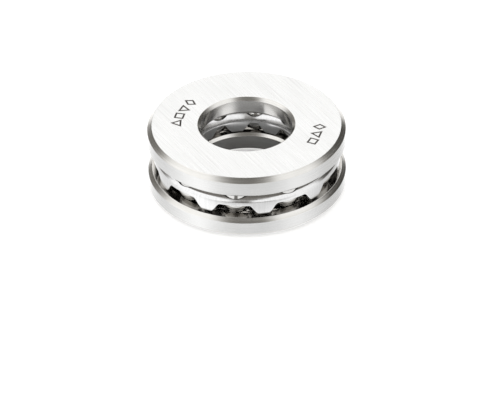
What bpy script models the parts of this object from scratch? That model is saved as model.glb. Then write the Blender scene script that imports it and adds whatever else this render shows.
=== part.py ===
"""Single-direction thrust ball bearing, 12 x 26 x 9 mm, for Blender 4.5.

Two grooved steel washers lie face to face with a ring of balls between them. A pressed-steel cage
keeps the balls apart. The lower washer is the housing washer, whose bore is 2 mm wider, and the
upper one is the shaft washer, which turns with the shaft.

Frame: +Z is the bearing's axis, and the origin is the centre of the housing washer's seating face.
The first ball stands on +X. Metres throughout; MM turns the millimetres of a drawing into metres.
"""

import math

import bmesh
import bpy
from mathutils import Matrix

MM = 0.001

# Boundary dimensions
OUTSIDE_RADIUS = 13.0 * MM
SHAFT_BORE_RADIUS = 6.0 * MM
HOUSING_BORE_RADIUS = 7.0 * MM
BEARING_HEIGHT = 9.0 * MM

# Balls
BALL_COUNT = 10
BALL_RADIUS = 2.381 * MM
PITCH_RADIUS = 9.67 * MM
MID_HEIGHT = BEARING_HEIGHT / 2
ROLLING_GAP = 0.02 * MM

# Washers
WASHER_THICKNESS = 2.7 * MM
GROOVE_RADIUS = 2.5 * MM
BACK_CHAMFER = 0.6 * MM
BORE_BACK_CHAMFER = 0.4 * MM
SHAFT_FACE_CHAMFER = 0.3 * MM
HOUSING_FACE_CHAMFER = 0.52 * MM
SHAFT_BORE_FACE_CHAMFER = 0.6 * MM
HOUSING_BORE_FACE_CHAMFER = 0.35 * MM

# Cage: a down-turned channel whose two rims end in a tongue between each pair of balls
SHEET = 0.4 * MM
CHANNEL_HALF_WIDTH = 2.62 * MM
CHANNEL_TOP = 6.0 * MM
OUTER_BENDS = (  # each radius, and the slopes between which it bends
    (1.0 * MM, 0.0, math.radians(50)),
    (2.6 * MM, math.radians(50), math.pi / 2),
)
INNER_BENDS = (
    (1.1 * MM, 0.0, math.radians(24)),
    (4.0 * MM, math.radians(24), math.radians(38)),
    (0.68 * MM, math.radians(38), math.pi / 2),
)
WINDOW_HEIGHT = 4.35 * MM
TONGUE_TIP_HEIGHT = 2.97 * MM
TONGUE_ROOT_WIDTH = 3.85 * MM
TONGUE_TIP_WIDTH = 1.2 * MM
TONGUE_CURL = 0.2  # of the curl that would follow the balls
POCKET_RADIUS = BALL_RADIUS + 0.05 * MM
POCKET_NECK_RADIUS = 2.35 * MM  # just less than the ball's, so the ball stays in
POCKET_FLARE_RADIUS = 2.75 * MM
POCKET_REACH = 2.3 * MM

# Facets
WASHER_SEGMENTS = 64
GROOVE_STEPS = 8
BALL_SEGMENTS = 20
BALL_RINGS = 12
BEND_FACET = math.radians(28)
RIM_STEPS = 2
POCKET_SEGMENTS = 28
POCKET_STEPS = 9
SHARP_ANGLE = math.radians(32)

FULL_TURN = 2 * math.pi
BALL_STEP = FULL_TURN / BALL_COUNT


def clear_scene():
    for thing in list(bpy.data.objects):
        bpy.data.objects.remove(thing)


def steel(name, colour, roughness):
    """A bare steel surface."""
    material = bpy.data.materials.new(name)
    material.use_nodes = True
    shader = material.node_tree.nodes["Principled BSDF"]
    shader.inputs["Base Color"].default_value = (*colour, 1.0)
    shader.inputs["Metallic"].default_value = 1.0
    shader.inputs["Roughness"].default_value = roughness
    return material


def add_object(name, mesh_data):
    thing = bpy.data.objects.new(name, mesh_data)
    bpy.context.scene.collection.objects.link(thing)
    return thing


def finish_mesh(name, bm, material=None):
    """The bmesh as mesh data: faces out, round surfaces smooth, real edges sharp."""
    bmesh.ops.recalc_face_normals(bm, faces=bm.faces)
    mesh_data = bpy.data.meshes.new(name)
    bm.to_mesh(mesh_data)
    bm.free()
    mesh_data.shade_smooth()
    mesh_data.set_sharp_from_angle(angle=SHARP_ANGLE)
    if material is not None:
        mesh_data.materials.append(material)
    return mesh_data


def turned(name, profile, segments, material=None):
    """A body of revolution about +Z. A profile of (radius, height) points that starts on the axis
    also ends there; any other one runs on from its last point to its first.
    """
    bm = bmesh.new()
    points = [bm.verts.new((radius, 0, height)) for radius, height in profile]
    pairs = list(zip(points, points[1:]))
    if profile[0][0] > 0:
        pairs.append((points[-1], points[0]))
    edges = [bm.edges.new(pair) for pair in pairs]
    bmesh.ops.spin(
        bm, geom=points + edges, cent=(0, 0, 0), axis=(0, 0, 1), angle=FULL_TURN, steps=segments
    )
    bmesh.ops.remove_doubles(bm, verts=bm.verts, dist=1e-3 * MM)
    return finish_mesh(name, bm, material)


# ---------------------------------------------------------------------------------------- washers


def groove(face_height, depth_sign):
    """The ball track's arc, from the inner shoulder to the outer one, in (radius, height) points.

    depth_sign is -1 where the track is cut down into the face and +1 where it is cut up.
    """
    bottom = MID_HEIGHT + depth_sign * (BALL_RADIUS + ROLLING_GAP)
    centre = bottom - depth_sign * GROOVE_RADIUS
    half_angle = math.acos(abs(face_height - centre) / GROOVE_RADIUS)
    points = []
    for step in range(GROOVE_STEPS + 1):
        angle = half_angle * (2 * step / GROOVE_STEPS - 1)
        points.append(
            (
                PITCH_RADIUS + GROOVE_RADIUS * math.sin(angle),
                centre + depth_sign * GROOVE_RADIUS * math.cos(angle),
            )
        )
    return points


def washer_profile(bore, back, face, bore_face_chamfer, outer_face_chamfer):
    """A washer's section. back is the height of its flat seating face, face that of its grooved one."""
    into = 1 if face > back else -1  # from the back towards the face
    track = groove(face, -into)
    return [
        (bore, back + into * BORE_BACK_CHAMFER),
        (bore, face - into * bore_face_chamfer),
        (bore + bore_face_chamfer, face),
        *track,
        (OUTSIDE_RADIUS - outer_face_chamfer, face),
        (OUTSIDE_RADIUS, face - into * outer_face_chamfer),
        (OUTSIDE_RADIUS, back + into * BACK_CHAMFER),
        (OUTSIDE_RADIUS - BACK_CHAMFER, back),
        (bore + BORE_BACK_CHAMFER, back),
    ]


def make_housing_washer(material):
    profile = washer_profile(
        HOUSING_BORE_RADIUS, 0.0, WASHER_THICKNESS, HOUSING_BORE_FACE_CHAMFER, HOUSING_FACE_CHAMFER
    )
    add_object("housing_washer", turned("housing_washer", profile, WASHER_SEGMENTS, material))


def make_shaft_washer(material):
    profile = washer_profile(
        SHAFT_BORE_RADIUS,
        BEARING_HEIGHT,
        BEARING_HEIGHT - WASHER_THICKNESS,
        SHAFT_BORE_FACE_CHAMFER,
        SHAFT_FACE_CHAMFER,
    )
    add_object("shaft_washer", turned("shaft_washer", profile, WASHER_SEGMENTS, material))


# ------------------------------------------------------------------------------------------- cage

# The cage is drawn in sections that run across its channel, from a ball's middle to the middle of
# the next tongue. Each one's drop says how far its rims hang from the window's height to the tip's.
SECTION_DROPS = (0.0, 0.0, 0.0, 0.5, 1.0, 1.0)


def section_angles(radius):
    """The sections' angles from the ball where they cross this radius. Tongues keep their width."""
    half_step = BALL_STEP / 2
    window = half_step - TONGUE_ROOT_WIDTH / 2 / radius
    tip = half_step - TONGUE_TIP_WIDTH / 2 / radius
    return (0.0, window / 2, window, (window + tip) / 2, tip, half_step)


def rim_offset(height, drop):
    """The rim's distance from the pitch circle. It curls in under the balls, and less at a tongue."""
    under = min(height - MID_HEIGHT, 0.0)
    curl = CHANNEL_HALF_WIDTH - math.sqrt(CHANNEL_HALF_WIDTH**2 - under**2)
    return CHANNEL_HALF_WIDTH - curl * (1 - (1 - TONGUE_CURL) * drop)


def channel_side(drop, bends):
    """Half the channel's outer surface as (offset, height), from a rim up to the flat top."""
    end = WINDOW_HEIGHT + (TONGUE_TIP_HEIGHT - WINDOW_HEIGHT) * drop
    bend_height = sum(radius * (math.sin(finish) - math.sin(start)) for radius, start, finish in bends)
    wall_end = CHANNEL_TOP - bend_height
    side = []
    for step in range(RIM_STEPS + 1):
        height = end + (wall_end - end) * step / RIM_STEPS
        side.append((rim_offset(height, drop), height))
    for radius, start, finish in bends:
        offset, height = side[-1]
        steps = math.ceil((finish - start) / BEND_FACET)
        for step in range(1, steps + 1):
            slope = start + (finish - start) * step / steps
            inwards = radius * (math.cos(start) - math.cos(slope))
            side.append((offset - inwards, height + radius * (math.sin(slope) - math.sin(start))))
    return side


def channel_section(drop):
    """The channel's outer surface as (offset from the pitch circle, height), rim to rim."""
    inner_side = [(-offset, height) for offset, height in channel_side(drop, INNER_BENDS)]
    return channel_side(drop, OUTER_BENDS) + [(0.0, CHANNEL_TOP)] + inner_side[::-1]


def section_points(ball, number, side):
    """One section's points, on the side (1 or -1) of this ball that it lies on."""
    points = []
    for offset, height in channel_section(SECTION_DROPS[number]):
        radius = PITCH_RADIUS + offset
        angle = ball * BALL_STEP + side * section_angles(radius)[number]
        points.append((radius * math.cos(angle), radius * math.sin(angle), height))
    return points


def cage_sheet(material):
    """The channel's outer surface, one section after another round the axis."""
    before = [(number, -1) for number in reversed(range(1, len(SECTION_DROPS) - 1))]
    after = [(number, 1) for number in range(len(SECTION_DROPS))]
    bm = bmesh.new()
    sections = [
        [bm.verts.new(point) for point in section_points(ball, number, side)]
        for ball in range(BALL_COUNT)
        for number, side in before + after
    ]
    for section, following in zip(sections, sections[1:] + sections[:1]):
        for row in range(len(section) - 1):
            bm.faces.new((section[row], following[row], following[row + 1], section[row + 1]))
    return finish_mesh("ball_cage", bm, material)


def pocket_cutter():
    """All the ball pockets: a spherical seat with a neck above it that flares out to the top."""
    seat_end = math.acos(POCKET_NECK_RADIUS / POCKET_RADIUS)
    profile = [(0.0, -POCKET_RADIUS)]
    for step in range(1, POCKET_STEPS + 1):
        angle = (seat_end + math.pi / 2) * step / POCKET_STEPS - math.pi / 2
        profile.append((POCKET_RADIUS * math.cos(angle), POCKET_RADIUS * math.sin(angle)))
    profile += [(POCKET_FLARE_RADIUS, POCKET_REACH), (0.0, POCKET_REACH)]
    pocket = turned("pocket", profile, POCKET_SEGMENTS)
    bm = bmesh.new()
    for ball in range(BALL_COUNT):
        start = len(bm.verts)
        bm.from_mesh(pocket)
        bm.verts.ensure_lookup_table()
        centre = Matrix.Translation((PITCH_RADIUS, 0, MID_HEIGHT))
        turn = Matrix.Rotation(ball * BALL_STEP, 4, "Z")
        bmesh.ops.transform(bm, matrix=turn @ centre, verts=bm.verts[start:])
    cutter = add_object("pocket_cutter", finish_mesh("pocket_cutter", bm))
    cutter.hide_render = True
    cutter.display_type = "WIRE"
    return cutter


def make_cage(material):
    cage = add_object("ball_cage", cage_sheet(material))
    sheet = cage.modifiers.new("sheet_thickness", "SOLIDIFY")
    sheet.thickness = SHEET
    sheet.offset = -1.0
    sheet.use_even_offset = True
    pockets = cage.modifiers.new("ball_pockets", "BOOLEAN")
    pockets.operation = "DIFFERENCE"
    pockets.solver = "EXACT"
    pockets.use_self = True  # the sheet's inside meets itself in the tightest corners
    pockets.object = pocket_cutter()
    return cage


# ------------------------------------------------------------------------------------------ balls


def make_balls(cage, material):
    """The balls, each with its poles on the radial line that it rolls about."""
    bm = bmesh.new()
    bmesh.ops.create_uvsphere(bm, u_segments=BALL_SEGMENTS, v_segments=BALL_RINGS, radius=BALL_RADIUS)
    ball_mesh = finish_mesh("ball", bm, material)
    for number in range(BALL_COUNT):
        angle = number * BALL_STEP
        ball = add_object(f"ball_{number + 1:02d}", ball_mesh)
        ball.location = (PITCH_RADIUS * math.cos(angle), PITCH_RADIUS * math.sin(angle), MID_HEIGHT)
        ball.rotation_euler = (0, math.pi / 2, angle)
        ball.parent = cage


def main():
    clear_scene()
    make_housing_washer(steel("housing_washer_steel", (0.66, 0.66, 0.64), 0.22))
    make_shaft_washer(steel("shaft_washer_steel", (0.80, 0.80, 0.78), 0.30))
    cage = make_cage(steel("cage_steel", (0.72, 0.73, 0.74), 0.16))
    make_balls(cage, steel("ball_steel", (0.60, 0.60, 0.61), 0.05))


main()
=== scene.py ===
"""Looks for the thrust ball bearing: fine meshes and bare-steel finishes for its thirteen pieces.

Radii and heights come from the CAD nodes. Metres throughout; MM turns millimetres into metres.
"""

import math

import bmesh
import bpy
from mathutils import Matrix, Quaternion, Vector


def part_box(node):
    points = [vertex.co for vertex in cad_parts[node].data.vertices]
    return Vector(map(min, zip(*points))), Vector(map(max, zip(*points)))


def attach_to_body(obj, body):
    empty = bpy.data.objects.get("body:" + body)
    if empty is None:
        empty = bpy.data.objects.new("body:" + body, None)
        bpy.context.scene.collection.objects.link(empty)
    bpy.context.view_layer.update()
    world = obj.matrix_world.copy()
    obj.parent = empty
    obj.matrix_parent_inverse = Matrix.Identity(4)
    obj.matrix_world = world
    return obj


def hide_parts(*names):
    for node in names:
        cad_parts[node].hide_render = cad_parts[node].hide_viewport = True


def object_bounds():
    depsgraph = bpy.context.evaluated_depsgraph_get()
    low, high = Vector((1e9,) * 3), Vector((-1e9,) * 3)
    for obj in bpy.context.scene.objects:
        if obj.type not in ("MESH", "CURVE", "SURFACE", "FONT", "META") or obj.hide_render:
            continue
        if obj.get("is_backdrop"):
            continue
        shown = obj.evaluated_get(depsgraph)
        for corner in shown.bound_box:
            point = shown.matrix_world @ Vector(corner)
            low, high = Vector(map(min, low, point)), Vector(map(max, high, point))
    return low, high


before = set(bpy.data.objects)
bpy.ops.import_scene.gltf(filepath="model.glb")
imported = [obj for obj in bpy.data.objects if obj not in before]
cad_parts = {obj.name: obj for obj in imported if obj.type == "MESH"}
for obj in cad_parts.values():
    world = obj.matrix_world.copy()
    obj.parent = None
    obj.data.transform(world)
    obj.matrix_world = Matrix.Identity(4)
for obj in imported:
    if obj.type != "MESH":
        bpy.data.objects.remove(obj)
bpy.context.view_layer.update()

MM = 0.001
FULL_TURN = 2 * math.pi
SMOOTH_ANGLE = math.radians(28)

BALL_NODES = sorted(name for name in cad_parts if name.startswith("ball_") and name != "ball_cage")
BALL_STEP = FULL_TURN / len(BALL_NODES)

# Washer edges and ball tracks
GROOVE_RADIUS = 2.5 * MM
BACK_CHAMFER = 0.6 * MM
BORE_BACK_CHAMFER = 0.4 * MM
SHAFT_FACE_CHAMFER = 0.3 * MM
HOUSING_FACE_CHAMFER = 0.52 * MM
SHAFT_BORE_FACE_CHAMFER = 0.6 * MM
HOUSING_BORE_FACE_CHAMFER = 0.35 * MM
EDGE_ROUND = 0.05 * MM
TRACK_EDGE_ROUND = 0.04 * MM
ROLLING_GAP = 0.02 * MM
TRACK_SHARE = 0.9  # of the track's half angle: how far up each side its own points reach
LIP_SHARE = 0.96  # of the same: the point on the track that a lip's rounding runs towards
WASHER_SEGMENTS = 256
GROOVE_STEPS = 28

# Cage sheet
SHEET = 0.4 * MM
OUTER_BENDS = (  # each radius, and the slopes between which it bends
    (1.0 * MM, 0.0, math.radians(50)),
    (2.6 * MM, math.radians(50), math.pi / 2),
)
INNER_BENDS = (
    (1.1 * MM, 0.0, math.radians(24)),
    (4.0 * MM, math.radians(24), math.radians(38)),
    (0.68 * MM, math.radians(38), math.pi / 2),
)
WINDOW_HEIGHT = 4.35 * MM
TONGUE_ROOT_WIDTH = 3.85 * MM
TONGUE_TIP_WIDTH = 1.2 * MM
TONGUE_CURL = 0.2  # of the curl that would follow the balls
POCKET_GAP = 0.05 * MM
POCKET_NECK_RADIUS = 2.35 * MM
POCKET_FLARE_RADIUS = 2.75 * MM
POCKET_REACH = 2.3 * MM
CAGE_COLUMNS = 26  # from a ball's middle to the next tongue's
COLUMN_SHARES = (0.0, 0.3, 0.78, 1.0)  # of them, up to a window's end, a tongue's tip and its middle
RIM_STEPS = 9
BEND_STEPS = 14  # for a quarter turn, with two more for each bend
WEB_STEPS = 4
LIP_STEPS = 6
POCKET_SEGMENTS = 96
POCKET_STEPS = 26

BALL_SEGMENTS = 96
BALL_RINGS = 48

# Finish
GRAIN_ANGLE = math.radians(110)  # the backs' grinding lines, from +X
WALL_LINES = 1.7  # how many turning lines go up a wall for each one across a face
STAMP_DEPTH = 0.09 * MM
STAMP_STROKE = 0.24 * MM
STAMP_SIZE = 0.74 * MM
STAMP_PITCH = 1.72 * MM
DIAMOND_WIDTH = 0.72  # of its height
STAMP_ROWS = (  # the marks, their distance from the axis, and the angle of the row's middle
    (("triangle", "square", "wedge", "diamond"), 9.0 * MM, math.radians(151)),
    (("diamond", "wedge", "square"), 9.6 * MM, math.radians(-26)),
)

# Camera and light
VIEW_AZIMUTH = math.radians(-9.9)
VIEW_ELEVATION = math.radians(34.3)
VIEW_ROLL = math.radians(-0.87)
VIEW_DISTANCE = 0.6
VIEW_LENS = 329.1
VIEW_DROP = 6.28 * MM  # how far below the bearing's middle the camera points
VIEW_SIDE = 0.41 * MM
FRONT = Vector((math.sin(VIEW_AZIMUTH), -math.cos(VIEW_AZIMUTH), 0))
RIGHT = Vector((math.cos(VIEW_AZIMUTH), math.sin(VIEW_AZIMUTH), 0))
OPENING_ELEVATION = math.radians(57)
OPENING = (FRONT - RIGHT * 0.07).normalized() * math.cos(OPENING_ELEVATION)
OPENING.z = math.sin(OPENING_ELEVATION)
OPENING_HALF_ANGLES = (math.radians(30), math.radians(12))  # where it starts, and where it is darkest
CARD_LEVEL = 1.3
GROUND_LEVEL = 1.65
GROUND_TONES = (  # from the front to the back
    (0.0, 0.55), (0.08, 0.6), (0.2, 0.9), (0.34, 0.82), (0.5, 0.66),
    (0.67, 0.51), (0.82, 0.50), (0.93, 0.62), (1.0, 0.95),
)
GROUND_REACH = 0.83  # how far towards the front or back a direction points where the tones end
TABLE_HALF_WIDTH = 3.0
TABLE_DROP = 0.02 * MM  # below the bearing, so that no faces coincide
PATCH_DROP = 0.01 * MM
PATCH_SEGMENTS = 96


# ------------------------------------------------------------------------------------ measuring


def reach(node):
    """A CAD node's least and greatest distance from the axis, and its lowest and highest point."""
    points = [vertex.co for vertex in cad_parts[node].data.vertices]
    radii = [math.hypot(point.x, point.y) for point in points]
    heights = [point.z for point in points]
    return min(radii), max(radii), min(heights), max(heights)


def centre_of(node):
    low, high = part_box(node)
    return (Vector(low) + Vector(high)) / 2


BALL_RADIUS = (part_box("ball_01")[1][0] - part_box("ball_01")[0][0]) / 2
PITCH_RADIUS = centre_of("ball_01").x
MID_HEIGHT = centre_of("ball_01").z


# -------------------------------------------------------------------------------- shader building


def add_node(tree, kind, values=None, **settings):
    """A node with its settings. A value that is a socket is linked, and any other is written in."""
    node = tree.nodes.new(kind)
    for name, value in settings.items():
        setattr(node, name, value)
    for name, value in (values or {}).items():
        if isinstance(value, bpy.types.NodeSocket):
            tree.links.new(value, node.inputs[name])
        else:
            node.inputs[name].default_value = value
    return node


def maths(tree, operation, first, second=0.0):
    node = add_node(tree, "ShaderNodeMath", {0: first, 1: second}, operation=operation)
    return node.outputs[0]


def product(tree, first, second):
    return maths(tree, "MULTIPLY", first, second)


def total(tree, first, second):
    return maths(tree, "ADD", first, second)


def mixed(tree, first, second, share):
    """A share of the first value and the rest of the second."""
    return total(tree, product(tree, first, share), product(tree, second, 1 - share))


def remainder(tree, value):
    return maths(tree, "SUBTRACT", 1.0, value)


def spread(tree, value, low, high, start=0.3, end=0.7):
    """Runs from low to high as value, such as a noise's, runs from start to end."""
    values = {"Value": value, "From Min": start, "From Max": end, "To Min": low, "To Max": high}
    return add_node(tree, "ShaderNodeMapRange", values).outputs["Result"]


def smooth_band(tree, value, start, end):
    """Eases from 0 to 1 as value runs from start to end."""
    values = {"Value": value, "From Min": start, "From Max": end, "To Min": 0.0, "To Max": 1.0}
    node = add_node(tree, "ShaderNodeMapRange", values, interpolation_type="SMOOTHSTEP")
    return node.outputs["Result"]


def component(tree, vector, axis):
    values = {0: vector, 1: tuple(axis)}
    node = add_node(tree, "ShaderNodeVectorMath", values, operation="DOT_PRODUCT")
    return node.outputs["Value"]


def blend_colour(tree, factor, first, second):
    node = add_node(tree, "ShaderNodeMix", data_type="RGBA")
    for socket, value in ((node.inputs[0], factor), (node.inputs[6], first), (node.inputs[7], second)):
        if isinstance(value, bpy.types.NodeSocket):
            tree.links.new(value, socket)
        elif socket.type == "RGBA":
            socket.default_value = (*value, 1.0)
        else:
            socket.default_value = value
    return node.outputs[2]


def noise(tree, vector, detail=2.0, rough=0.55, scale=1.0):
    values = {"Vector": vector, "Scale": scale, "Detail": detail, "Roughness": rough}
    return add_node(tree, "ShaderNodeTexNoise", values).outputs["Fac"]


def steel(name):
    """A bare-steel material: its node tree, its shader, and its object coordinates in metres."""
    material = bpy.data.materials.new(name)
    material.use_nodes = True
    tree = material.node_tree
    shader = tree.nodes["Principled BSDF"]
    shader.inputs["Metallic"].default_value = 1.0
    coordinates = add_node(tree, "ShaderNodeTexCoord").outputs["Object"]
    return material, tree, shader, coordinates


def scaled(tree, vector, scale, turn=0.0):
    values = {"Vector": vector, "Scale": scale, "Rotation": (0, 0, turn)}
    return add_node(tree, "ShaderNodeMapping", values, vector_type="POINT").outputs["Vector"]


def turning_lines(tree, coordinates, across, along):
    """Coordinates that run quickly across the lines of a turned surface and slowly along them."""
    parts = add_node(tree, "ShaderNodeSeparateXYZ", {"Vector": coordinates})
    x, y, z = (parts.outputs[axis] for axis in "XYZ")
    radius = maths(tree, "SQRT", total(tree, product(tree, x, x), product(tree, y, y)))
    run = total(tree, radius, product(tree, z, WALL_LINES))
    values = {
        "X": product(tree, x, along),
        "Y": product(tree, y, along),
        "Z": product(tree, run, across),
    }
    return add_node(tree, "ShaderNodeCombineXYZ", values).outputs["Vector"]


def finish_steel(tree, shader, colour, roughness, heights):
    """Wires colour and roughness, and stacks one bump for each (height, depth in metres)."""
    tree.links.new(colour, shader.inputs["Base Color"])
    tree.links.new(roughness, shader.inputs["Roughness"])
    normal = None
    for height, depth in heights:
        values = {"Height": height, "Distance": depth, "Strength": 1.0}
        if normal is not None:
            values["Normal"] = normal
        normal = add_node(tree, "ShaderNodeBump", values).outputs["Normal"]
    tree.links.new(normal, shader.inputs["Normal"])


# --------------------------------------------------------------------------------------- finishes


def ground_back():
    """Surface-ground: straight fine lines that cross the whole face, with a few deeper strokes."""
    material, tree, shader, coordinates = steel("ground_back")
    lengthways = scaled(tree, coordinates, (1, 1, 1), -GRAIN_ANGLE)
    fine = noise(tree, scaled(tree, lengthways, (110, 9000, 1)), detail=3.0)
    broad = noise(tree, scaled(tree, lengthways, (60, 1900, 1)), detail=2.0)
    patches = noise(tree, scaled(tree, lengthways, (160, 420, 1)), detail=2.0)
    strokes = spread(tree, broad, 0.0, 1.0, 0.60, 0.72)
    lines = mixed(tree, fine, broad, 0.6)
    tone = spread(tree, lines, 0.0, 1.0, 0.35, 0.62)
    clean = blend_colour(tree, tone, (0.55, 0.55, 0.54), (0.65, 0.65, 0.645))
    colour = blend_colour(tree, product(tree, strokes, 0.5), clean, (0.47, 0.465, 0.455))
    roughness = total(tree, spread(tree, lines, 0.22, 0.34), spread(tree, patches, -0.03, 0.03))
    finish_steel(tree, shader, colour, roughness, [(broad, 2.2e-6), (fine, 0.5e-6)])
    return material


def turned(name, dark, light, roughness, across, along, depth):
    """Turned or cylindrically ground steel, with fine lines round the axis."""
    material, tree, shader, coordinates = steel(name)
    lines = noise(tree, turning_lines(tree, coordinates, across, along), detail=3.0)
    patches = noise(tree, coordinates, detail=3.0, scale=330)
    tone = mixed(tree, lines, patches, 0.65)
    colour = blend_colour(tree, spread(tree, tone, 0.0, 1.0, 0.36, 0.64), dark, light)
    grooved = spread(tree, lines, roughness * 0.8, roughness * 1.25)
    uneven = total(tree, grooved, spread(tree, patches, -0.02, 0.02))
    finish_steel(tree, shader, colour, uneven, [(lines, depth)])
    return material


def pressed_steel():
    """Bright sheet drawn through a die: mirror-like, softly uneven, with faint drawing marks."""
    material, tree, shader, coordinates = steel("pressed_steel")
    waves = noise(tree, coordinates, detail=1.0, scale=620)
    peel = noise(tree, coordinates, detail=2.0, scale=5200)
    marks = noise(tree, scaled(tree, coordinates, (3800, 3800, 260)), detail=2.0)
    tone = spread(tree, marks, 0.0, 1.0, 0.36, 0.62)
    colour = blend_colour(tree, tone, (0.60, 0.60, 0.60), (0.65, 0.65, 0.65))
    roughness = total(tree, spread(tree, marks, 0.14, 0.19), spread(tree, waves, -0.02, 0.02))
    finish_steel(tree, shader, colour, roughness, [(waves, 5.0e-6), (peel, 0.2e-6)])
    return material


def ball_steel():
    """Lapped and polished, with hairline marks in every direction."""
    material, tree, shader, coordinates = steel("ball_steel")
    hairlines = noise(tree, coordinates, detail=4.0, rough=0.7, scale=3600)
    film = noise(tree, coordinates, detail=1.0, scale=420)
    colour = blend_colour(tree, spread(tree, film, 0.0, 1.0), (0.47, 0.465, 0.455), (0.54, 0.535, 0.525))
    roughness = spread(tree, hairlines, 0.03, 0.075)
    finish_steel(tree, shader, colour, roughness, [(hairlines, 0.05e-6)])
    return material


def stamped_recess():
    """The bottom of a stamped mark, dark with oxide."""
    material, tree, shader, coordinates = steel("stamped_recess")
    specks = noise(tree, coordinates, detail=3.0, scale=9000)
    colour = blend_colour(tree, spread(tree, specks, 0.0, 1.0), (0.07, 0.065, 0.06), (0.16, 0.15, 0.14))
    finish_steel(tree, shader, colour, spread(tree, specks, 0.45, 0.65), [(specks, 3.0e-6)])
    return material


# ---------------------------------------------------------------------------------- mesh building


def add_piece(name, bm, materials):
    bmesh.ops.recalc_face_normals(bm, faces=bm.faces)
    mesh_data = bpy.data.meshes.new(name)
    bm.to_mesh(mesh_data)
    bm.free()
    mesh_data.shade_smooth()
    mesh_data.set_sharp_from_angle(angle=SMOOTH_ANGLE)
    for material in materials:
        mesh_data.materials.append(material)
    piece = bpy.data.objects.new(name, mesh_data)
    bpy.context.scene.collection.objects.link(piece)
    return piece


def cut_away(piece, cutter):
    """Cuts the cutter out of the piece for good. The cut faces take the cutter's material."""
    cut = piece.modifiers.new("cut", "BOOLEAN")
    cut.operation = "DIFFERENCE"
    cut.solver = "EXACT"
    cut.material_mode = "TRANSFER"
    cut.object = cutter
    graph = bpy.context.evaluated_depsgraph_get()
    result = bpy.data.meshes.new_from_object(piece.evaluated_get(graph))
    piece.modifiers.clear()
    piece.data = result
    result.name = piece.name
    result.set_sharp_from_angle(angle=SMOOTH_ANGLE)
    bpy.data.objects.remove(cutter)


def corner(before, point, after, size, steps=4):
    """A rounded corner, with a point a little before and after it that keeps the flats flat."""
    before, point, after = Vector(before), Vector(point), Vector(after)
    one = (before - point).normalized()
    other = (after - point).normalized()
    half = one.angle(other) / 2
    cut = size / math.tan(half)
    centre = point + (one + other).normalized() * (size / math.sin(half))
    start = point + one * cut
    sweep = math.pi - 2 * half
    turn = 1 if one.cross(other) > 0 else -1
    points = [start + one * size * 0.5]
    for step in range(steps + 1):
        arm = Matrix.Rotation(-turn * sweep * step / steps, 2) @ (start - centre)
        points.append(centre + arm)
    points.append(point + other * (cut + size * 0.5))
    return [tuple(each) for each in points]


def lathe(name, strokes, finishes):
    """Turns a closed section about +Z. A stroke is (finish's number, the points that it starts at)."""
    ring = []
    for finish, points in strokes:
        ring += [(point, finish) for point in points]
    bm = bmesh.new()
    columns = []
    for segment in range(WASHER_SEGMENTS):
        angle = FULL_TURN * segment / WASHER_SEGMENTS
        cosine, sine = math.cos(angle), math.sin(angle)
        columns.append([bm.verts.new((r * cosine, r * sine, z)) for (r, z), _ in ring])
    for column, following in zip(columns, columns[1:] + columns[:1]):
        for row, (_, finish) in enumerate(ring):
            after = (row + 1) % len(ring)
            face = bm.faces.new((column[row], column[after], following[after], following[row]))
            face.material_index = finish
    return add_piece(name, bm, finishes)


BACK, CHAMFER, RIM, BORE, SHOULDER, TRACK = range(6)


def washer(name, node, into, chamfers, finishes):
    """A washer with a flat back and a grooved face. into is 1 where the face is above the back."""
    bore, outside, low, high = reach(node)
    back, face = (low, high) if into > 0 else (high, low)
    bore_face, outer_face = chamfers
    bottom = MID_HEIGHT - into * (BALL_RADIUS + ROLLING_GAP)
    centre = bottom + into * GROOVE_RADIUS
    half_angle = math.acos(abs(face - centre) / GROOVE_RADIUS)
    lip = GROOVE_RADIUS * math.sin(half_angle)

    def track_point(angle):
        """The track's radius and height at this angle from its bottom."""
        radius = PITCH_RADIUS + GROOVE_RADIUS * math.sin(angle)
        return radius, centre - into * GROOVE_RADIUS * math.cos(angle)

    corners = [
        (CHAMFER, (bore, back + into * BORE_BACK_CHAMFER), EDGE_ROUND),
        (BORE, (bore, face - into * bore_face), EDGE_ROUND),
        (CHAMFER, (bore + bore_face, face), EDGE_ROUND),
        (SHOULDER, (PITCH_RADIUS - lip, face), TRACK_EDGE_ROUND),
        (TRACK, (PITCH_RADIUS + lip, face), TRACK_EDGE_ROUND),
        (SHOULDER, (outside - outer_face, face), EDGE_ROUND),
        (CHAMFER, (outside, face - into * outer_face), EDGE_ROUND),
        (RIM, (outside, back + into * BACK_CHAMFER), EDGE_ROUND),
        (CHAMFER, (outside - BACK_CHAMFER, back), EDGE_ROUND),
        (BACK, (bore + BORE_BACK_CHAMFER, back), EDGE_ROUND),
    ]
    inner_lip, outer_lip = 3, 4
    beside_lip = half_angle * LIP_SHARE
    strokes = []
    for number, (_, point, size) in enumerate(corners):
        following = corners[(number + 1) % len(corners)]
        before, after = corners[number - 1][1], following[1]
        if number == inner_lip:
            after = track_point(-beside_lip)
        if number == outer_lip:
            before = track_point(beside_lip)
        strokes.append((following[0], corner(before, point, after, size)))
        if number == inner_lip:
            inside = half_angle * TRACK_SHARE
            steps = [inside * (2 * step / GROOVE_STEPS - 1) for step in range(GROOVE_STEPS + 1)]
            strokes.append((TRACK, [track_point(angle) for angle in steps]))
    return lathe(name, strokes, finishes)


# ------------------------------------------------------------------------------------ stamped marks


def stamp_outline(kind):
    """A mark's corners about its middle: plain shapes that mean nothing."""
    if kind == "triangle":
        angles = [90, 210, 330]
    elif kind == "wedge":
        angles = [270, 30, 150]
    elif kind == "diamond":
        angles = [0, 90, 180, 270]
    else:
        angles = [45, 135, 225, 315]
    width = DIAMOND_WIDTH if kind == "diamond" else 1.0
    return [
        Vector((STAMP_SIZE * width * math.cos(math.radians(a)), STAMP_SIZE * math.sin(math.radians(a))))
        for a in angles
    ]


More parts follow.
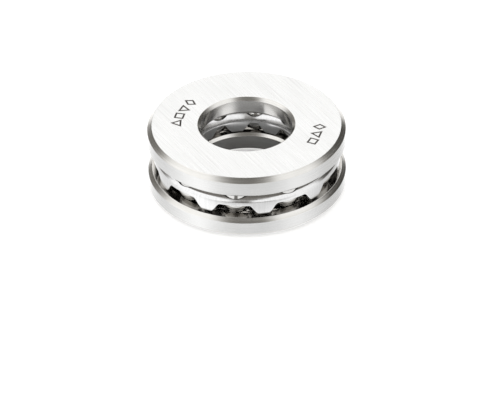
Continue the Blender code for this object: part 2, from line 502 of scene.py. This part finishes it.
def stamp_cutter(bm, kind, place):
    """A V-shaped cutter along a mark's outline."""
    above = STAMP_DEPTH * 0.5
    half = STAMP_STROKE / 2 * (1 + above / STAMP_DEPTH)
    outline = stamp_outline(kind)
    rings = []
    for number, point in enumerate(outline):
        before, after = outline[number - 1], outline[(number + 1) % len(outline)]
        bisector = ((point - before).normalized() + (point - after).normalized()).normalized()
        opening = (before - point).angle(after - point) / 2
        reach_out = bisector * (half / math.sin(opening))
        ring = [(point + reach_out, above), (point - reach_out, above), (point, -STAMP_DEPTH)]
        rings.append([bm.verts.new(place @ Vector((flat.x, flat.y, height))) for flat, height in ring])
    for ring, following in zip(rings, rings[1:] + rings[:1]):
        for row in range(3):
            after = (row + 1) % 3
            bm.faces.new((ring[row], ring[after], following[after], following[row]))


def stamp(piece, marks, radius, middle_angle, height, recess):
    """Stamps a row of marks into the back face, along an arc about the axis."""
    bm = bmesh.new()
    for number, kind in enumerate(marks):
        along = (number - (len(marks) - 1) / 2) * STAMP_PITCH / radius
        turn = Matrix.Rotation(middle_angle - along, 4, "Z")
        place = turn @ Matrix.Translation((radius, 0, height)) @ Matrix.Rotation(-math.pi / 2, 4, "Z")
        stamp_cutter(bm, kind, place)
    cut_away(piece, add_piece("stamp", bm, [recess]))


# ------------------------------------------------------------------------------------------- cage


def tongue_edges(radius):
    """The angles from a ball's middle where a window ends and where a tongue's tip starts."""
    half_step = BALL_STEP / 2
    return half_step - TONGUE_ROOT_WIDTH / 2 / radius, half_step - TONGUE_TIP_WIDTH / 2 / radius


def ease(share):
    share = min(max(share, 0.0), 1.0)
    return share * share * (3 - 2 * share)


def column_angle(number, radius):
    """The angle at which a column crosses this radius. Columns crowd where the tongue's edge runs."""
    window, tip = tongue_edges(radius)
    stations = (0.0, window, tip, BALL_STEP / 2)
    share = number / CAGE_COLUMNS
    for low, high, start, end in zip(COLUMN_SHARES, COLUMN_SHARES[1:], stations, stations[1:]):
        if share <= high:
            return start + (end - start) * (share - low) / (high - low)
    return BALL_STEP / 2


def column_drop(number):
    """How far a column's rims hang: 0 at the window's height and 1 at the tongue's tip."""
    share = number / CAGE_COLUMNS
    return ease((share - COLUMN_SHARES[1]) / (COLUMN_SHARES[2] - COLUMN_SHARES[1]))


def rim_profile(drop, bends, half_width, top, tip_height):
    """The sheet's outer surface from a rim's end to the middle of the top: offset, height, slope."""
    end = WINDOW_HEIGHT + (tip_height - WINDOW_HEIGHT) * drop + SHEET / 2
    rise = sum(radius * (math.sin(finish) - math.sin(start)) for radius, start, finish in bends)
    wall_end = top - rise
    profile = []
    for step in range(RIM_STEPS + 1):
        height = end + (wall_end - end) * step / RIM_STEPS
        under = min(height - MID_HEIGHT, 0.0)
        curl = half_width - math.sqrt(half_width**2 - under**2)
        profile.append((half_width - curl * TONGUE_CURL, height, 0.0))
    for radius, start, finish in bends:
        offset, height, _ = profile[-1]
        steps = round(BEND_STEPS * (finish - start) / (math.pi / 2)) + 2
        for step in range(1, steps + 1):
            slope = start + (finish - start) * step / steps
            inwards = radius * (math.cos(start) - math.cos(slope))
            upwards = radius * (math.sin(slope) - math.sin(start))
            profile.append((offset - inwards, height + upwards, slope))
    offset = profile[-1][0]
    for step in range(1, WEB_STEPS + 1):
        profile.append((offset * (1 - step / WEB_STEPS), top, math.pi / 2))
    return profile


def rim_outline(drop, bends, half_width, top, tip_height):
    """One side of the sheet's section: from mid-channel down inside, round the lip and back up."""
    outside, inside = [], []
    for offset, height, slope in rim_profile(drop, bends, half_width, top, tip_height):
        normal = Vector((math.cos(slope), math.sin(slope)))
        outside.append(Vector((offset, height)))
        inside.append(Vector((offset, height)) - normal * SHEET)
    middle = outside[0] - Vector((SHEET / 2, 0))
    lip = []
    for step in range(1, LIP_STEPS):
        turn = math.pi * step / LIP_STEPS
        lip.append(middle + Vector((-math.cos(turn), -math.sin(turn))) * (SHEET / 2))
    return list(reversed(inside)) + lip + outside


def sheet_outline(drop, half_width, top, tip_height):
    """The closed outline of the sheet's section, with rounded lips at both rims."""
    outer_side = rim_outline(drop, OUTER_BENDS, half_width, top, tip_height)
    inner_side = rim_outline(drop, INNER_BENDS, half_width, top, tip_height)
    mirrored = [Vector((-point.x, point.y)) for point in reversed(inner_side)]
    return outer_side + mirrored[1:-1]


def cage_ring():
    _, outer_radius, tip_height, top = reach("ball_cage")
    half_width = outer_radius - PITCH_RADIUS
    bm = bmesh.new()
    columns = []
    for ball in range(len(BALL_NODES)):
        for signed in range(-CAGE_COLUMNS + 1, CAGE_COLUMNS + 1):
            number, side = abs(signed), (1 if signed > 0 else -1)
            column = []
            for offset, height in sheet_outline(column_drop(number), half_width, top, tip_height):
                radius = PITCH_RADIUS + offset
                angle = ball * BALL_STEP + side * column_angle(number, radius)
                point = (radius * math.cos(angle), radius * math.sin(angle), height)
                column.append(bm.verts.new(point))
            columns.append(column)
    for column, following in zip(columns, columns[1:] + columns[:1]):
        for row in range(len(column)):
            after = (row + 1) % len(column)
            bm.faces.new((column[row], following[row], following[after], column[after]))
    return bm


def pocket_tools():
    """All ten pockets: a spherical seat with a neck above it that flares out to the top."""
    seat = BALL_RADIUS + POCKET_GAP
    seat_end = math.acos(POCKET_NECK_RADIUS / seat)
    profile = []
    for step in range(1, POCKET_STEPS + 1):
        angle = (seat_end + math.pi / 2) * step / POCKET_STEPS - math.pi / 2
        profile.append((seat * math.cos(angle), seat * math.sin(angle)))
    profile.append((POCKET_FLARE_RADIUS, POCKET_REACH))
    bm = bmesh.new()
    for ball in range(len(BALL_NODES)):
        turn = Matrix.Rotation(ball * BALL_STEP, 4, "Z")
        place = turn @ Matrix.Translation((PITCH_RADIUS, 0, MID_HEIGHT))
        bottom = bm.verts.new(place @ Vector((0, 0, -seat)))
        top = bm.verts.new(place @ Vector((0, 0, POCKET_REACH)))
        columns = []
        for segment in range(POCKET_SEGMENTS):
            angle = FULL_TURN * segment / POCKET_SEGMENTS
            spoke = [Vector((r * math.cos(angle), r * math.sin(angle), z)) for r, z in profile]
            columns.append([bm.verts.new(place @ point) for point in spoke])
        for column, following in zip(columns, columns[1:] + columns[:1]):
            bm.faces.new((bottom, following[0], column[0]))
            bm.faces.new((top, column[-1], following[-1]))
            for row in range(len(column) - 1):
                bm.faces.new((column[row], following[row], following[row + 1], column[row + 1]))
    return bm


def make_cage(finish):
    cage = add_piece("pressed_cage", cage_ring(), [finish])
    cut_away(cage, add_piece("pockets", pocket_tools(), [finish]))
    return cage


# ------------------------------------------------------------------------------------------ balls


def make_ball(name, node, finish):
    bm = bmesh.new()
    bmesh.ops.create_uvsphere(bm, u_segments=BALL_SEGMENTS, v_segments=BALL_RINGS, radius=BALL_RADIUS)
    centre = centre_of(node)
    outward = math.atan2(centre.y, centre.x)
    place = Matrix.Rotation(outward, 4, "Z") @ Matrix.Rotation(math.pi / 2, 4, "Y")
    bmesh.ops.transform(bm, matrix=Matrix.Translation(centre) @ place, verts=bm.verts)
    return add_piece(name, bm, [finish])


# ------------------------------------------------------------------------------------------ studio


def make_camera():
    low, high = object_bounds()
    middle = (Vector(low) + Vector(high)) / 2
    back = FRONT * math.cos(VIEW_ELEVATION) + Vector((0, 0, math.sin(VIEW_ELEVATION)))
    up = back.cross(RIGHT)
    camera = bpy.data.objects.new("camera", bpy.data.cameras.new("camera"))
    camera.data.lens = VIEW_LENS
    camera.data.clip_start = VIEW_DISTANCE / 100
    camera.location = middle + back * VIEW_DISTANCE
    level_aim = middle - up * VIEW_DROP + RIGHT * VIEW_SIDE
    aim = middle + Matrix.Rotation(VIEW_ROLL, 3, back) @ (level_aim - middle)
    camera.rotation_mode = "QUATERNION"
    roll = Quaternion((0, 0, 1), VIEW_ROLL)
    camera.rotation_quaternion = (aim - camera.location).to_track_quat("-Z", "Y") @ roll
    bpy.context.scene.collection.objects.link(camera)
    bpy.context.scene.camera = camera


def white_surface(name, colour, lit):
    """Matt and pale, glowing where lit is 1. lit may be a number or a function of the tree."""
    material = bpy.data.materials.new(name)
    material.use_nodes = True
    tree = material.node_tree
    shader = tree.nodes["Principled BSDF"]
    shader.inputs["Base Color"].default_value = (colour, colour, colour, 1)
    shader.inputs["Roughness"].default_value = 0.9
    shader.inputs["Specular IOR Level"].default_value = 0.2
    shader.inputs["Emission Color"].default_value = (1, 1, 1, 1)
    if callable(lit):
        tree.links.new(lit(tree), shader.inputs["Emission Strength"])
    else:
        shader.inputs["Emission Strength"].default_value = lit
    return material


def painted_light_in_bore(tree):
    """Painted light: a glow that stands in for the light the bore's wall throws onto the table, a patch
    to the left and one to the right.
    """
    position = add_node(tree, "ShaderNodeTexCoord").outputs["Object"]
    nearer = component(tree, position, FRONT)
    slant = product(tree, component(tree, position, RIGHT), 1.19)
    to_left = maths(tree, "SUBTRACT", product(tree, slant, -1), nearer)
    to_right = maths(tree, "SUBTRACT", slant, nearer)
    left = smooth_band(tree, to_left, 4.3 * MM, 5.0 * MM)
    left = product(tree, left, smooth_band(tree, nearer, -3.3 * MM, -1.6 * MM))
    right = smooth_band(tree, to_right, -2.5 * MM, 4.5 * MM)
    right = product(tree, right, smooth_band(tree, nearer, -2.2 * MM, 0.2 * MM))
    front = product(tree, smooth_band(tree, nearer, 2.0 * MM, 5.5 * MM), 0.14)
    return total(tree, product(tree, total(tree, left, right), 1.15), front)


def make_floor():
    """A white light table that hardly shows a shadow, and its patch inside the bore, darker with painted
    shade and glowing with painted light.
    """
    bm = bmesh.new()
    bmesh.ops.create_grid(bm, x_segments=1, y_segments=1, size=TABLE_HALF_WIDTH)
    bmesh.ops.translate(bm, vec=(0, 0, -TABLE_DROP), verts=bm.verts)
    table = add_piece("white_table", bm, [white_surface("white_table", 0.8, 0.35)])
    table.visible_glossy = False
    table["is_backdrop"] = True

    bm = bmesh.new()
    bore = reach("housing_washer")[0]
    bmesh.ops.create_circle(bm, cap_ends=True, segments=PATCH_SEGMENTS, radius=bore)
    bmesh.ops.translate(bm, vec=(0, 0, -PATCH_DROP), verts=bm.verts)
    # Painted shade and light: the patch is darker than the table for the bearing's own shade, and glows
    # where the bore's wall would throw light; the camera doesn't see it.
    surface = white_surface("table_in_bore_painted_shade_and_light", 0.45, painted_light_in_bore)
    patch = add_piece("table_in_bore_painted_shade_and_light", bm, [surface])
    patch.visible_camera = False
    patch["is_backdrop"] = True


def tent_light(tree, direction, height, back, right):
    """The roof and the card in front, less a stand before the card and the opening above it."""
    lift = total(tree, product(tree, back, 0.20), product(tree, right, -0.04))
    upper = smooth_band(tree, total(tree, height, lift), 0.47, 0.63)
    roof = product(tree, spread(tree, back, 1.4, 1.5, -0.2, 0.8), upper)

    facing = product(tree, back, -1)
    side = maths(tree, "SUBTRACT", facing, product(tree, right, 0.1))
    aside = remainder(tree, smooth_band(tree, facing, 0.80, 0.94))
    raised = total(tree, height, product(tree, aside, 0.12))
    card = product(tree, smooth_band(tree, raised, -0.01, 0.09), smooth_band(tree, side, -0.3, 0.05))
    bright = maths(tree, "MAXIMUM", roof, product(tree, card, CARD_LEVEL))

    across = maths(tree, "ABSOLUTE", total(tree, right, product(tree, facing, 0.12)))
    stand = smooth_band(tree, across, 0.26, 0.12)
    stand = product(tree, stand, smooth_band(tree, facing, 0.2, 0.4))
    stand = product(tree, stand, spread(tree, height, 0.92, 0.5, 0.38, 0.52))
    bright = product(tree, bright, remainder(tree, stand))

    start, darkest = (math.cos(angle) for angle in OPENING_HALF_ANGLES)
    opening = smooth_band(tree, component(tree, direction, OPENING), start, darkest)
    return product(tree, bright, remainder(tree, product(tree, opening, 0.9)))


def ground_light(tree, height, back, right):
    """The table's light from below, which changes from the front to the back."""
    below = smooth_band(tree, height, -0.03, -0.15)
    place = spread(tree, back, 0.0, 1.0, -GROUND_REACH, GROUND_REACH)
    levels = add_node(tree, "ShaderNodeValToRGB", {"Fac": place})
    levels.color_ramp.interpolation = "B_SPLINE"
    ramp = levels.color_ramp.elements
    for element, (_, grey) in zip(ramp, (GROUND_TONES[0], GROUND_TONES[-1])):
        element.color = (grey, grey, grey, 1)
    for position, grey in GROUND_TONES[1:-1]:
        ramp.new(position).color = (grey, grey, grey, 1)
    ground = product(tree, product(tree, levels.outputs["Color"], GROUND_LEVEL), below)
    return product(tree, ground, spread(tree, right, 1.0, 0.94, -0.8, 0.8))


def make_light():
    """A soft white tent, bright above and low down, with a dim ring at eye level."""
    world = bpy.data.worlds.new("tent")
    bpy.context.scene.world = world
    world.use_nodes = True
    tree = world.node_tree
    background = tree.nodes["Background"]
    direction = add_node(tree, "ShaderNodeTexCoord").outputs["Generated"]
    height = component(tree, direction, (0, 0, 1))
    back = component(tree, direction, -FRONT)
    right = component(tree, direction, RIGHT)

    tent = tent_light(tree, direction, height, back, right)
    ground = ground_light(tree, height, back, right)
    ring = spread(tree, right, 0.26, 0.10, -0.8, 0.8)
    level = total(tree, total(tree, tent, ground), ring)
    tint = blend_colour(tree, maths(tree, "MINIMUM", level, 1.0), (1.0, 0.95, 0.87), (1.0, 1.0, 1.0))
    lit = add_node(tree, "ShaderNodeVectorMath", {0: tint, "Scale": level}, operation="SCALE")
    tree.links.new(lit.outputs["Vector"], background.inputs["Color"])

    seen = add_node(tree, "ShaderNodeLightPath").outputs["Is Camera Ray"]
    plain = add_node(tree, "ShaderNodeBackground", {"Color": (1, 1, 1, 1), "Strength": 1.0})
    values = {"Fac": seen, 1: background.outputs[0], 2: plain.outputs[0]}
    choose = add_node(tree, "ShaderNodeMixShader", values)
    tree.links.new(choose.outputs[0], tree.nodes["World Output"].inputs["Surface"])
    bpy.context.scene.view_settings.view_transform = "Standard"


# -------------------------------------------------------------------------------------------- main


def make_washers():
    back = ground_back()
    chamfer = turned("turned_chamfer", (0.52, 0.51, 0.485), (0.62, 0.61, 0.59), 0.20, 9000, 60, 1.0e-6)
    rim = turned("ground_rim", (0.57, 0.57, 0.565), (0.65, 0.65, 0.645), 0.24, 12000, 90, 0.6e-6)
    bore = turned("ground_bore", (0.53, 0.52, 0.505), (0.62, 0.615, 0.605), 0.15, 11000, 70, 0.6e-6)
    shoulder = turned(
        "turned_shoulder", (0.40, 0.385, 0.36), (0.49, 0.475, 0.45), 0.16, 9000, 70, 0.4e-6
    )
    track = turned(
        "polished_track", (0.42, 0.405, 0.38), (0.50, 0.485, 0.46), 0.09, 14000, 60, 0.12e-6
    )
    # Painted shade: the shaft washer's face beside its track looks down into the bearing and gets a much
    # darker copy of the shoulder finish, for the shade under the washer.
    underside = turned(
        "turned_underside_painted_shade", (0.15, 0.14, 0.125), (0.21, 0.20, 0.185), 0.16, 9000, 70, 0.4e-6
    )

    chamfers = (HOUSING_BORE_FACE_CHAMFER, HOUSING_FACE_CHAMFER)
    finishes = [back, chamfer, rim, bore, shoulder, track]
    housing = washer("ground_housing_washer", "housing_washer", 1, chamfers, finishes)
    chamfers = (SHAFT_BORE_FACE_CHAMFER, SHAFT_FACE_CHAMFER)
    finishes = [back, chamfer, rim, bore, underside, track]
    shaft = washer("ground_shaft_washer", "shaft_washer", -1, chamfers, finishes)

    recess = stamped_recess()
    top = reach("shaft_washer")[3]
    for marks, radius, angle in STAMP_ROWS:
        stamp(shaft, marks, radius, angle, top, recess)
    return housing, shaft


def attach(piece, node):
    """The piece moves with its CAD node and stands in for it."""
    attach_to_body(piece, node)
    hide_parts(node)


def main():
    housing, shaft = make_washers()
    cage = make_cage(pressed_steel())
    attach(housing, "housing_washer")
    attach(shaft, "shaft_washer")
    attach(cage, "ball_cage")

    polished = ball_steel()
    for node in BALL_NODES:
        attach(make_ball(f"polished_{node}", node, polished), node)

    make_floor()
    make_light()
    make_camera()


main()
